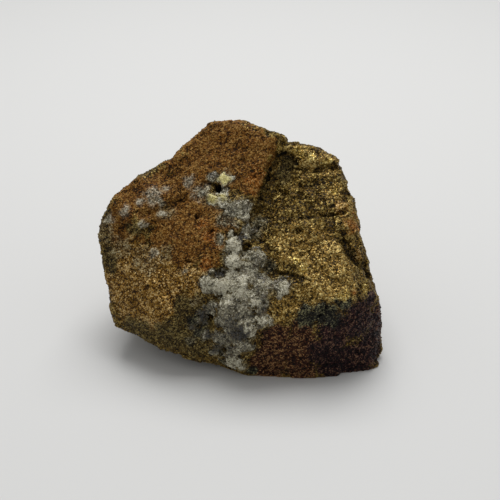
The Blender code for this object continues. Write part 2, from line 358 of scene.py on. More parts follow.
def carve(mesh, marks):
    """Sinks marks into the surface, and returns how deep each point lies in them."""
    places = places_of(mesh)
    uneven = wandering(places)
    deep = np.zeros(len(places), np.float32)
    for x, y, z, radius, depth in marks:
        nearest = np.linalg.norm(places - (x, y, z), axis=1).argmin()
        away = np.linalg.norm(uneven - uneven[nearest], axis=1) / radius
        cut = depth * np.clip(1 - away ** 2, 0, 1)
        deep = np.where(np.abs(cut) > np.abs(deep), cut, deep)
    places -= normals_of(mesh) * deep[:, None]
    mesh.vertices.foreach_set("co", (places * MM).ravel())
    mesh.update()
    return deep


def keep_proud(mesh, passes):
    """Stores how far each point stands above the smooth run of the surface around it, in millimetres."""
    places = places_of(mesh)
    ends = np.empty(len(mesh.edges) * 2, np.int32)
    mesh.edges.foreach_get("vertices", ends)
    ends = np.vstack((ends.reshape(-1, 2), ends.reshape(-1, 2)[:, ::-1]))
    count = np.bincount(ends[:, 0], minlength=len(places))[:, None]
    smooth = places.copy()
    for _ in range(passes):
        around = [np.bincount(ends[:, 0], smooth[ends[:, 1], axis], len(places)) for axis in range(3)]
        smooth = (smooth + np.stack(around, 1) / count) / 2
    keep(mesh, "proud", ((places - smooth) * normals_of(mesh)).sum(1).astype(np.float32))


def new_tree(name, sizes):
    """A Geometry Nodes tree with a geometry in and out, a named input for each size and a material."""
    tree = bpy.data.node_groups.new(name, "GeometryNodeTree")
    tree.interface.new_socket("Geometry", in_out="INPUT", socket_type="NodeSocketGeometry")
    tree.interface.new_socket("Geometry", in_out="OUTPUT", socket_type="NodeSocketGeometry")
    for size in sizes:
        tree.interface.new_socket(size, in_out="INPUT", socket_type="NodeSocketFloat")
    tree.interface.new_socket("Finish", in_out="INPUT", socket_type="NodeSocketMaterial")
    return tree


def finish_tree(tree, given, made):
    """Ends a tree: its instances are made real, and the whole takes its finish."""
    joined = add(tree, "GeometryNodeRealizeInstances", {"Geometry": made.outputs[0]})
    finished = add(tree, "GeometryNodeSetMaterial", {"Geometry": joined.outputs[0],
                                                     "Material": given.outputs["Finish"]})
    add(tree, "NodeGroupOutput", {0: finished.outputs[0]})
    return tree


def use_tree(obj, tree, **inputs):
    """Runs a Geometry Nodes tree on an object with its named inputs, and makes its mesh plain."""
    modifier = obj.modifiers.new(tree.name, "NODES")
    modifier.node_group = tree
    given = {name.replace("_", " ").capitalize(): value for name, value in inputs.items()}
    for item in tree.interface.items_tree:
        if item.in_out == "INPUT" and item.name in given:
            modifier[item.identifier] = given[item.name]
    make_plain(obj)


# Half of each part of a cell's random colour, and so their middle.
HALF = (0.5, 0.5, 0.5)


def facet_height(tree, place, grain, height):
    """Height of broken grains: every cell has a level and a tilt of its own."""
    scale = add(tree, "ShaderNodeMath", {0: 1.0, 1: grain}, operation="DIVIDE").outputs[0]
    cells = add(tree, "ShaderNodeTexVoronoi", {"Vector": place, "Scale": scale})
    off = add(tree, "ShaderNodeVectorMath", {0: place, 1: cells.outputs["Position"]},
              operation="SUBTRACT")
    off = add(tree, "ShaderNodeVectorMath", {0: off.outputs[0], "Scale": scale}, operation="SCALE")
    lean = add(tree, "ShaderNodeVectorMath", {0: cells.outputs["Color"], 1: HALF}, operation="SUBTRACT")
    tilt = add(tree, "ShaderNodeVectorMath", {0: lean.outputs[0], 1: off.outputs[0]},
               operation="DOT_PRODUCT")
    level = add(tree, "ShaderNodeSeparateXYZ", {0: lean.outputs[0]})
    total = add(tree, "ShaderNodeMath", {0: tilt.outputs["Value"], 1: level.outputs[0]}, operation="ADD")
    return add(tree, "ShaderNodeMath", {0: total.outputs[0], 1: height}, operation="MULTIPLY").outputs[0]


def hackly_break():
    """Moves a surface in and out along its normal as broken grains do, but for a band at its foot."""
    tree = new_tree("hackly_break", ("Break grain", "Break height", "Grain", "Grain height",
                                     "Ripple length", "Ripple height", "Base band"))
    given = add(tree, "NodeGroupInput")
    place = add(tree, "GeometryNodeInputPosition").outputs[0]
    coarse = facet_height(tree, place, given.outputs["Break grain"], given.outputs["Break height"])
    fine = facet_height(tree, place, given.outputs["Grain"], given.outputs["Grain height"])
    ripple_scale = add(tree, "ShaderNodeMath", {0: 1.0, 1: given.outputs["Ripple length"]},
                       operation="DIVIDE")
    turned = add(tree, "ShaderNodeVectorRotate", {"Vector": place, "Axis": (0.0, 1.0, 0.0),
                                                  "Angle": RIPPLE_SLOPE}).outputs[0]
    drawn_out = add(tree, "ShaderNodeVectorMath", {0: turned, 1: (1 / RIPPLE_STRETCH, 1.0, 1.0)},
                    operation="MULTIPLY").outputs[0]
    ripple = add(tree, "ShaderNodeTexNoise", {"Vector": drawn_out, "Scale": ripple_scale.outputs[0],
                                              "Detail": 4.0, "Roughness": 0.6}).outputs[0]
    ripple = add(tree, "ShaderNodeMath", {0: ripple, 1: 0.5}, operation="SUBTRACT").outputs[0]
    ripple = add(tree, "ShaderNodeMath", {0: ripple, 1: given.outputs["Ripple height"]},
                 operation="MULTIPLY")
    height = add(tree, "ShaderNodeMath", {0: coarse, 1: fine}, operation="ADD").outputs[0]
    height = add(tree, "ShaderNodeMath", {0: height, 1: ripple.outputs[0]}, operation="ADD").outputs[0]
    strength = add(tree, "GeometryNodeInputNamedAttribute", {"Name": "strength"},
                   data_type="FLOAT").outputs[0]
    height = add(tree, "ShaderNodeMath", {0: height, 1: strength}, operation="MULTIPLY").outputs[0]
    up = add(tree, "ShaderNodeSeparateXYZ", {0: place}).outputs["Z"]
    clear = add(tree, "ShaderNodeMapRange", {"Value": up, "From Max": given.outputs["Base band"]})
    move = add(tree, "ShaderNodeMath", {0: height, 1: clear.outputs[0]}, operation="MULTIPLY").outputs[0]
    normal = add(tree, "GeometryNodeInputNormal").outputs[0]
    move = add(tree, "ShaderNodeVectorMath", {0: normal, "Scale": move}, operation="SCALE").outputs[0]
    moved = add(tree, "GeometryNodeSetPosition", {"Geometry": given.outputs[0], "Offset": move})
    return finish_tree(tree, given, moved)


# Sizes of the ore's patterns: blotches of weathering, flecks, streaks along the ripples, and
# crystals with small ones in them. Real ones go down to 0.1 mm, which is too fine to show, so
# the small ones are drawn at over three times that. Then the near-black of the painted shade
# between them and in pits, cracks and hollows.
BLOTCH = 6 * MM
FLECK = 1.8 * MM
STREAK = 1.3 * MM
CRYSTAL = 0.8 * MM
SMALL_CRYSTAL = 0.36 * MM
PAINTED_SHADE_COLOUR = "#070502"

# The finishes of the ore, each laid over the ones before it: its colours from the darkest tone up
# to the lightest, where the tone holds painted shade in hollows and painted highlight on proud
# points, how metallic and how rough it is, how far its grains' faces lean, how fully it covers,
# and how gradually it fades out.
TONES = (0.0, 0.3, 0.55, 0.8, 1.0)
FINISHES = (
    ("ochre", ("#241402", "#5c3b0d", "#866322", "#a58143", "#c4a872"), 0.45, 0.48, 0.45, 1.0, 0.5),
    ("brass", ("#241a06", "#5f4817", "#8a6b2e", "#a68749", "#bfaa6e"), 0.6, 0.45, 0.38, 1.0, 0.5),
    ("rust", ("#241405", "#503108", "#704614", "#825b24", "#9e7a42"), 0.05, 0.65, 0.25, 1.0, 0.4),
    ("orange", ("#341902", "#6a3c07", "#8c5212", "#9e6930", "#bb9056"), 0.1, 0.6, 0.3, 0.8, 0.8),
    ("olive", ("#0f0b04", "#34290f", "#503f1e", "#6a592f", "#8c7b4b"), 0.35, 0.5, 0.4, 0.9, 0.6),
    ("grey", ("#221808", "#514024", "#74613c", "#8c7b57", "#aaa182"), 0.1, 0.55, 0.3, 0.6, 1.0),
    ("russet", ("#060301", "#25100a", "#402013", "#563520", "#94714a"), 0.4, 0.5, 0.5, 1.0, 0.5),
    ("bloom", ("#030202", "#12090b", "#241215", "#382021", "#6e5240"), 0.5, 0.45, 0.6, 1.0, 0.4),
    ("soot", ("#040404", "#16150f", "#2e2c25", "#474536", "#7b7757"), 0.4, 0.42, 0.5, 0.9, 0.6),
    ("film", ("#1a1710", "#3b3624", "#59523c", "#777057", "#9c967f"), 0.0, 0.45, 0.2, 0.8, 1.0),
    ("smear", ("#47443a", "#746f5d", "#9a947f", "#b2ad9a", "#c8c4b4"), 0.0, 0.5, 0.15, 0.62, 1.0),
    # The gold finish's light colours are a painted highlight on facets that catch the lamp; its metal
    # gloss is real.
    ("gold", ("#322408", "#826626", "#ac8d44", "#ceb160", "#dcca88"), 0.85, 0.34, 0.6, 1.0, 0.6),
)
BARE_ORE = (("#0d0902", "#3a2b0c", "#5e4717", "#7a602a", "#9c8850"), 0.6, 0.45, 0.5)


def new_material(name):
    """A material with nodes, and its tree and shader."""
    material = bpy.data.materials.new(name)
    material.use_nodes = True
    return material, material.node_tree, material.node_tree.nodes["Principled BSDF"]


def leaning_normal(tree, lean):
    """The surface's normal, leant over by this much."""
    normal = add(tree, "ShaderNodeNewGeometry").outputs["Normal"]
    normal = add(tree, "ShaderNodeVectorMath", {0: normal, 1: lean}, operation="ADD").outputs[0]
    return add(tree, "ShaderNodeVectorMath", {0: normal}, operation="NORMALIZE").outputs[0]


def broken_chalcopyrite():
    """Chalcopyrite, broken and weathered: brassy metallic grains under thin rust, olive and
    purple-black films, so that each grain has a tone and a glint of its own."""
    material, tree, shader = new_material("broken_chalcopyrite")
    place = add(tree, "ShaderNodeTexCoord").outputs["Object"]
    along = add(tree, "ShaderNodeMapping", {"Vector": place, "Rotation": (0.0, -RIPPLE_SLOPE, 0.0),
                                            "Scale": (RIPPLE_STRETCH, 1.0, 1.0)}, vector_type="TEXTURE")
    blotch = add(tree, "ShaderNodeTexNoise", {"Vector": place, "Scale": 1 / BLOTCH,
                                              "Detail": 4.0}).outputs[0]
    fleck = add(tree, "ShaderNodeTexNoise", {"Vector": place, "Scale": 1 / FLECK, "Detail": 4.0,
                                             "Roughness": 0.65}).outputs[0]
    streak = add(tree, "ShaderNodeTexNoise", {"Vector": along.outputs[0], "Scale": 1 / STREAK,
                                              "Detail": 3.0}).outputs[0]
    cells = add(tree, "ShaderNodeTexVoronoi", {"Vector": place, "Scale": 1 / CRYSTAL})
    fine = add(tree, "ShaderNodeTexVoronoi", {"Vector": place, "Scale": 1 / SMALL_CRYSTAL})
    gaps = add(tree, "ShaderNodeTexVoronoi", {"Vector": place, "Scale": 1 / CRYSTAL},
               feature="DISTANCE_TO_EDGE").outputs["Distance"]
    grain = add(tree, "ShaderNodeSeparateXYZ", {0: cells.outputs["Color"]})
    small = add(tree, "ShaderNodeSeparateXYZ", {0: fine.outputs["Color"]})
    tint = add(tree, "ShaderNodeAttribute", attribute_name="tint").outputs["Fac"]
    proud = add(tree, "ShaderNodeAttribute", attribute_name="proud").outputs["Fac"]

    # The tone picks each finish's colour. It mixes the grains' own random tones with painted shade
    # and highlight: points that stand proud of the surface are painted lighter, hollows darker.
    tone = summed(tree, 0.5, ((grain.outputs[0], 0.25), (small.outputs[0], 1.1), (fleck, 0.7),
                              (streak, 0.9), (blotch, 0.8)))
    tone = add(tree, "ShaderNodeMath", {0: tint, 1: tone}, operation="ADD").outputs[0]
    tone = add(tree, "ShaderNodeMath", {0: proud, 1: 0.85, 2: tone}, operation="MULTIPLY_ADD").outputs[0]

    # Bare ore, and each finish over it with a ragged edge. surface holds how metallic, how rough
    # and how far over the crystals are.
    colours, metallic, roughness, lean = BARE_ORE
    colour = add(tree, "ShaderNodeValToRGB", {0: tone}, stops=tuple(zip(TONES, colours))).outputs[0]
    surface = add(tree, "ShaderNodeCombineXYZ", {0: metallic, 1: roughness, 2: lean}).outputs[0]
    for zone, colours, metallic, roughness, lean, cover, fade in FINISHES:
        share = add(tree, "ShaderNodeAttribute", attribute_name=zone).outputs["Fac"]
        ragged = add(tree, "ShaderNodeMath", {0: share, 1: cover}, operation="MULTIPLY").outputs[0]
        ragged = summed(tree, ragged, ((fleck, 1.0), (blotch, 0.5), (streak, 1.0),
                                       (small.outputs[1], 0.6)))
        ragged = add(tree, "ShaderNodeMapRange", {"Value": ragged, "From Min": 0.5 - fade / 2,
                                                  "From Max": 0.5 + fade / 2}).outputs[0]
        share = add(tree, "ShaderNodeMath", {0: share, 1: ragged}, operation="MULTIPLY").outputs[0]
        share = add(tree, "ShaderNodeMath", {0: share, 1: fade},
                    operation="DIVIDE", use_clamp=True).outputs[0]
        paint = add(tree, "ShaderNodeValToRGB", {0: tone}, stops=tuple(zip(TONES, colours))).outputs[0]
        colour = add(tree, "ShaderNodeMix", {0: share, 6: colour, 7: paint}, data_type="RGBA").outputs[2]
        surface = add(tree, "ShaderNodeMix", {0: share, 4: surface, 5: (metallic, roughness, lean)},
                      data_type="VECTOR").outputs[1]

    # Painted shade: the pits and cracks are painted darker the deeper they are, the "shade" hollows
    # a little darker, and the edges between the crystals darker too.
    shade = add(tree, "ShaderNodeAttribute", attribute_name="shade").outputs["Fac"]
    sunk = add(tree, "ShaderNodeAttribute", attribute_name="sunk").outputs["Fac"]
    sunk = add(tree, "ShaderNodeMath", {0: sunk, 1: 0.6}, operation="MULTIPLY").outputs[0]
    painted_shade = add(tree, "ShaderNodeMath", {0: shade, 1: 0.16, 2: sunk},
               operation="MULTIPLY_ADD", use_clamp=True)
    colour = add(tree, "ShaderNodeMix", {0: painted_shade.outputs[0], 6: colour, 7: linear(PAINTED_SHADE_COLOUR)},
                 data_type="RGBA").outputs[2]
    # Painted shade in the gaps between the crystals.
    crevice_shade = add(tree, "ShaderNodeMapRange", {"Value": gaps, "From Max": 0.1, "To Min": 0.55,
                                               "To Max": 0.0})
    colour = add(tree, "ShaderNodeMix", {0: crevice_shade.outputs[0], 6: colour, 7: linear(PAINTED_SHADE_COLOUR)},
                 data_type="RGBA").outputs[2]

    # Only the lighter tones are clean metal, and the crust between them hardly shines. Every small
    # crystal leans its own way, and by half as much with the larger one that it is part of, so the
    # middle of the two is 0.75.
    surface = add(tree, "ShaderNodeSeparateXYZ", {0: surface})
    clean = add(tree, "ShaderNodeMapRange", {"Value": tone, "From Min": 0.3, "From Max": 0.75}).outputs[0]
    metal = add(tree, "ShaderNodeMath", {0: surface.outputs[0], 1: clean},
                operation="MULTIPLY").outputs[0]
    rough = summed(tree, surface.outputs[1], ((grain.outputs[1], 0.25),))
    faces = add(tree, "ShaderNodeVectorMath",
                {0: cells.outputs["Color"], 1: HALF, 2: fine.outputs["Color"]},
                operation="MULTIPLY_ADD").outputs[0]
    faces = add(tree, "ShaderNodeVectorMath", {0: faces, 1: (0.75, 0.75, 0.75)},
                operation="SUBTRACT").outputs[0]
    faces = add(tree, "ShaderNodeVectorMath", {0: faces, "Scale": surface.outputs[2]},
                operation="SCALE").outputs[0]
    normal = leaning_normal(tree, faces)
    shader.inputs["Specular IOR Level"].default_value = 0.1
    for socket, value in (("Base Color", colour), ("Metallic", metal), ("Roughness", rough),
                          ("Normal", normal)):
        tree.links.new(value, shader.inputs[socket])
    return material


ore = broken_chalcopyrite()
broken_ore = new_object("broken_ore", merged(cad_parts["chalcopyrite_rock"].data))
refined(broken_ore, "REMESH", mode="VOXEL", voxel_size=SKIN_VOXEL)
refined(broken_ore, "SMOOTH", iterations=SKIN_ROUNDING)
carve(broken_ore.data, DENTS)
# How deep each point is sunk in a pit or crack, which the ore's material paints as shade.
keep(broken_ore.data, "sunk", carve(broken_ore.data, PITS + tuple(crack_marks())))
keep_zones(broken_ore.data)
hackly = hackly_break()
use_tree(broken_ore, hackly, break_grain=BREAK_GRAIN, break_height=BREAK_HEIGHT, grain=GRAIN,
         grain_height=GRAIN_HEIGHT, ripple_length=RIPPLE_LENGTH, ripple_height=RIPPLE_HEIGHT,
         base_band=BASE_BAND, finish=ore)
refined(broken_ore, "DECIMATE", ratio=SKIN_TRIANGLES / triangle_count(broken_ore.data))
keep_proud(broken_ore.data, passes=SKIN_PROUD_PASSES)
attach(broken_ore, "root")
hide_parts("chalcopyrite_rock")

# --- Loose crystals on the ore ----------------------------------------------------------------
# The break leaves single grains standing proud: small blocky crystals, bright on the brassy
# block, dull under the rust and dark under the bloom. Each is part buried and turned at random.

# No crystal stands this near the foot, in millimetres.
BARE_FOOT = 2
# A full turn about each axis, in radians, and how much darker or lighter a crystal may be.
FULL_TURN = (6.283, 6.283, 6.283)
DARKEST_TINT = -0.15
LIGHTEST_TINT = 0.25

# Each crust: its piece, its zones, and in millimetres the spacing and the smallest and largest
# side of a crystal.
CRUSTS = (
    ("brassy_crystals", ("brass", "gold"), 0.7, 0.2, 0.5),
    ("rusty_crystals", ("rust", "ochre"), 0.85, 0.2, 0.45),
    ("tarnished_crystals", ("bloom", "russet", "olive", "grey", "soot"), 0.9, 0.2, 0.5),
)


def crystal_crust():
    """Scatters blocky crystals where the attribute "crust" is high."""
    tree = new_tree("crystal_crust", ("Spacing", "Smallest", "Largest"))
    given = add(tree, "NodeGroupInput")
    share = add(tree, "GeometryNodeInputNamedAttribute", {"Name": "crust"}, data_type="FLOAT").outputs[0]
    density = add(tree, "ShaderNodeMath", {0: given.outputs["Spacing"], 1: -2.0},
                  operation="POWER").outputs[0]
    points = add(tree, "GeometryNodeDistributePointsOnFaces",
                 {"Mesh": given.outputs[0], "Distance Min": given.outputs["Spacing"],
                  "Density Max": density, "Density Factor": share, "Seed": SEED},
                 distribute_method="POISSON")
    block = add(tree, "GeometryNodeMeshCube", {"Size": (1.0, 1.0, 1.0)})
    turn = add(tree, "FunctionNodeRandomValue", {0: (0.0, 0.0, 0.0), 1: FULL_TURN, "Seed": SEED},
               data_type="FLOAT_VECTOR")
    turn = add(tree, "FunctionNodeEulerToRotation", {0: turn.outputs[0]})
    low = add(tree, "ShaderNodeCombineXYZ", {i: given.outputs["Smallest"] for i in range(3)}).outputs[0]
    high = add(tree, "ShaderNodeCombineXYZ", {i: given.outputs["Largest"] for i in range(3)}).outputs[0]
    size = add(tree, "FunctionNodeRandomValue", {0: low, 1: high, "Seed": SEED + 1},
               data_type="FLOAT_VECTOR")
    placed = add(tree, "GeometryNodeInstanceOnPoints",
                 {"Points": points.outputs["Points"], "Instance": block.outputs["Mesh"],
                  "Rotation": turn.outputs[0], "Scale": size.outputs[0]})
    tint = add(tree, "FunctionNodeRandomValue", {2: DARKEST_TINT, 3: LIGHTEST_TINT, "Seed": SEED + 2},
               data_type="FLOAT")
    tinted = add(tree, "GeometryNodeStoreNamedAttribute",
                 {"Geometry": placed.outputs[0], "Name": "tint", "Value": tint.outputs[1]},
                 data_type="FLOAT", domain="INSTANCE")
    return finish_tree(tree, given, tinted)


def shares_of(mesh, names):
    """The largest share that each point has in any of these zones."""
    most = np.zeros(len(mesh.vertices), np.float32)
    for name in names:
        share = np.empty_like(most)
        mesh.attributes[name].data.foreach_get("value", share)
        most = np.maximum(most, share)
    return most


crust_tree = crystal_crust()
for name, zones, spacing, smallest, largest in CRUSTS:
    crust = new_object(name, broken_ore.data.copy())
    share = shares_of(crust.data, zones) * (1 - shares_of(crust.data, ("vein",)))
    share[places_of(crust.data)[:, 2] < BARE_FOOT] = 0
    keep(crust.data, "crust", share)
    use_tree(crust, crust_tree, spacing=spacing * MM, smallest=smallest * MM, largest=largest * MM,
             finish=ore)
    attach(crust, "root")
    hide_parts("chalcopyrite_rock")

# --- Quartz vein ------------------------------------------------------------------------------
# Milky and smoky quartz filled cracks right through the ore, and shows on the front and the back.
# The vein is a skin that swells a little proud of the ore, with patchy edges that dip out of
# sight and a surface of small chips.

# The skin's sheet: how far it swells from its edge inward, how unevenly over patches of this
# length, how much calmer it is in the middle, its highest rise, and how far its edge dips.
QUARTZ_THICKNESS = 0.9 * MM
QUARTZ_UNEVENNESS = 7 * MM
QUARTZ_PATCH = 2 * MM
CALM_MIDDLE = 0.75
QUARTZ_RISE = 0.4 * MM
HIDDEN_EDGE = 0.35 * MM

# The sheet made solid: its depth, its voxels, the fewest points of a piece that is kept, and the
# passes that round it and that find its smooth run.
QUARTZ_DEPTH = 1.2 * MM
QUARTZ_VOXEL = 0.28 * MM
QUARTZ_CRUMB = 100
QUARTZ_SMOOTHING = 1
QUARTZ_PROUD_PASSES = 25

# Its break, in the same terms as the ore's.
QUARTZ_GRAIN = 2 * MM
QUARTZ_BREAK = 0.9 * MM
QUARTZ_CHIP = 0.9 * MM
QUARTZ_CHIP_HEIGHT = 0.45 * MM
QUARTZ_RIPPLE = 2 * MM
QUARTZ_RIPPLE_HEIGHT = 1 * MM

# How milky the quartz is away from every patch, how little that counts beside a patch, and how
# sharply a patch's own part falls off.
PLAIN_MILK = 0.4
PLAIN_PULL = 0.02
PATCH_FALL = -2

# Milky and smoky patches, in millimetres: x, y, z, the radius, and how milky each is.
MILK = (
    (-3, -19, 42, 2, 0.9), (-2, -22, 39, 3, 0.85), (-1, -25, 35, 2.5, 0.75), (5, -24, 39, 3.5, 0.4),
    (3, -21, 40, 1.2, 0.55), (2, -23, 37, 1.8, 0.8), (3, -26, 34, 2.5, 0.6),
    (-6, -28, 31, 2.5, 2.2), (-10, -27, 32, 2.5, 0.7), (-1, -29, 31, 3, 1.1), (9, -29, 31, 2, 0.7),
    (14, -28, 31, 2, 0.8), (11, -24, 32, 2.5, 0.3), (7, -26, 34, 2.2, 0.4),
    (-5, -31, 28, 2.5, 0.75), (-6, -32, 25, 2.5, 0.5), (-2, -32, 26, 2, 0.45),
    (-4, -34, 23, 2.8, 0.25), (4, -33, 28, 2.2, 0.6), (-8, -30, 24, 2, 0.3), (2, -36, 23, 2.5, 0.5),
    (7, -36, 24, 1.8, 0.8), (8, -32, 27, 1.8, 0.1), (4, -36, 20, 1.8, 0.6), (0, -36, 19, 2.2, -0.6),
    (-5, -33, 15, 2.5, 0.25), (-1, -37, 15, 2.3, 0.4), (-3, -34, 12, 2, 0.3), (2, -37, 15, 2, 0.4),
    (-6, -33, 7, 1.8, 0.6), (-3, -34, 6, 2, 0.7), (0, -36, 6, 2, 0.65), (3, -34, 2, 1.5, 0.1),
    (1, -11, 49, 2.3, 0.45), (-3, -10, 49, 2.3, 0.5), (-6, -8, 51, 1.8, 0.85),
    (-9, -8, 51, 1.8, 0.8), (-7, -10, 50, 1.5, 0.9), (-13, -4, 53, 2, 0.5), (-10, -3, 55, 1.8, 0.4),
    (-3, -3, 56, 1.5, 0.9), (-5, -3, 56, 2, 1.2), (-8, -2, 57, 1.8, 0.4), (2, -12, 47, 1.8, 1.1),
    (3, -14, 43, 2, 0.45), (1, -17, 42, 1.5, -0.4), (5, -12, 44, 2, 0.1), (-6, -17, 42, 1.5, 0.3),
    (-7, -24, 33, 2, 0.1), (-10, -24, 34, 1.8, 0.15), (2, 33, 46, 2.5, 0.9), (2, 33, 37, 2.5, 0.1),
    (-2, 30, 25, 2.5, 0.8), (-12, -29, 20, 1.8, -0.1), (-9, -30, 22, 2, 0.25),
    (-9, -31, 14, 1.8, 0.0), (-7, -31, 10, 1.8, 0.2), (-14, -31, 17, 1.8, -0.1),
)


def quartz_skin():
    """Lifts the surface unevenly where the attribute "vein" is high, and leaves out the rest of it."""
    tree = new_tree("quartz_skin", ("Thickness", "Unevenness", "Highest rise", "Patch length",
                                    "Hidden edge"))
    given = add(tree, "NodeGroupInput")
    place = add(tree, "GeometryNodeInputPosition").outputs[0]
    share = add(tree, "GeometryNodeInputNamedAttribute", {"Name": "vein"}, data_type="FLOAT").outputs[0]

    # It rises from the edge of the vein inward, and noise breaks it up, less so in the middle.
    inside = add(tree, "ShaderNodeMath", {0: share, 1: 0.5}, operation="SUBTRACT").outputs[0]
    rise = add(tree, "ShaderNodeMath", {0: inside, 1: given.outputs["Thickness"]},
               operation="MULTIPLY").outputs[0]
    scale = add(tree, "ShaderNodeMath", {0: 1.0, 1: given.outputs["Patch length"]},
                operation="DIVIDE").outputs[0]
    patch = add(tree, "ShaderNodeTexNoise", {"Vector": place, "Scale": scale, "Detail": 3.0,
                                             "Roughness": 0.6}).outputs[0]
    patch = add(tree, "ShaderNodeMath", {0: patch, 1: 0.5}, operation="SUBTRACT").outputs[0]
    edge = add(tree, "ShaderNodeMath", {0: share, 1: -CALM_MIDDLE, 2: 1.0},
               operation="MULTIPLY_ADD").outputs[0]
    edge = add(tree, "ShaderNodeMath", {0: edge, 1: share}, operation="MULTIPLY").outputs[0]
    patch = add(tree, "ShaderNodeMath", {0: patch, 1: edge}, operation="MULTIPLY").outputs[0]
    rise = add(tree, "ShaderNodeMath", {0: patch, 1: given.outputs["Unevenness"], 2: rise},
               operation="MULTIPLY_ADD").outputs[0]
    rise = add(tree, "ShaderNodeMath", {0: rise, 1: given.outputs["Highest rise"]},
               operation="MINIMUM").outputs[0]

    # What would lie deeper than the hidden edge is left out.
    lowest = add(tree, "ShaderNodeMath", {0: given.outputs["Hidden edge"], 1: -1.0},
                 operation="MULTIPLY").outputs[0]
    outside = add(tree, "ShaderNodeMath", {0: rise, 1: lowest}, operation="LESS_THAN").outputs[0]
    sheet = add(tree, "GeometryNodeDeleteGeometry", {"Geometry": given.outputs[0], "Selection": outside})
    normal = add(tree, "GeometryNodeInputNormal").outputs[0]
    move = add(tree, "ShaderNodeVectorMath", {0: normal, "Scale": rise}, operation="SCALE").outputs[0]
    moved = add(tree, "GeometryNodeSetPosition", {"Geometry": sheet.outputs[0], "Offset": move})
    return finish_tree(tree, given, moved)


def drop_crumbs(mesh, fewest):
    """Removes the loose pieces of fewer points than this, which a remesh leaves by thin edges. A
    piece is followed from one of its points to all those that are joined to it."""
    shell = bmesh.new()
    shell.from_mesh(mesh)
    unseen = set(shell.verts)
    crumbs = []
    while unseen:
        piece = [unseen.pop()]
        for point in piece:
            near = {edge.other_vert(point) for edge in point.link_edges} & unseen
            unseen -= near
            piece += near
        if len(piece) < fewest:
            crumbs += piece
    bmesh.ops.delete(shell, geom=crumbs, context="VERTS")
    shell.to_mesh(mesh)
    shell.free()


def keep_milk(mesh):
    """Stores how milky the quartz is at each point, from the patches near it."""
    places = wandering(places_of(mesh))
    total = np.full(len(places), PLAIN_PULL, np.float32)
    milk = total * PLAIN_MILK
    for x, y, z, radius, milky in MILK:
        away = np.linalg.norm(places - (x, y, z), axis=1) / radius
        pull = np.exp(PATCH_FALL * away ** 2)
        total += pull
        milk += pull * milky
    keep(mesh, "milk", milk / total)


# Sizes of the quartz's patterns: clouds, growth bands and flecks, and chips that are drawn
# coarser than the finest real ones, so that they show. Then how far the chips lean over, and
# the colours of the thin rust and of the ore that shows through.
CLOUD = 2.8 * MM
GROWTH_BAND = 4.5 * MM
QUARTZ_FLECK = 0.9 * MM
CHIP = 0.4 * MM
CHIP_LEAN = 1.2
RUST_STAIN = "#6b5a35"
ORE_SPECK = "#4a3a18"


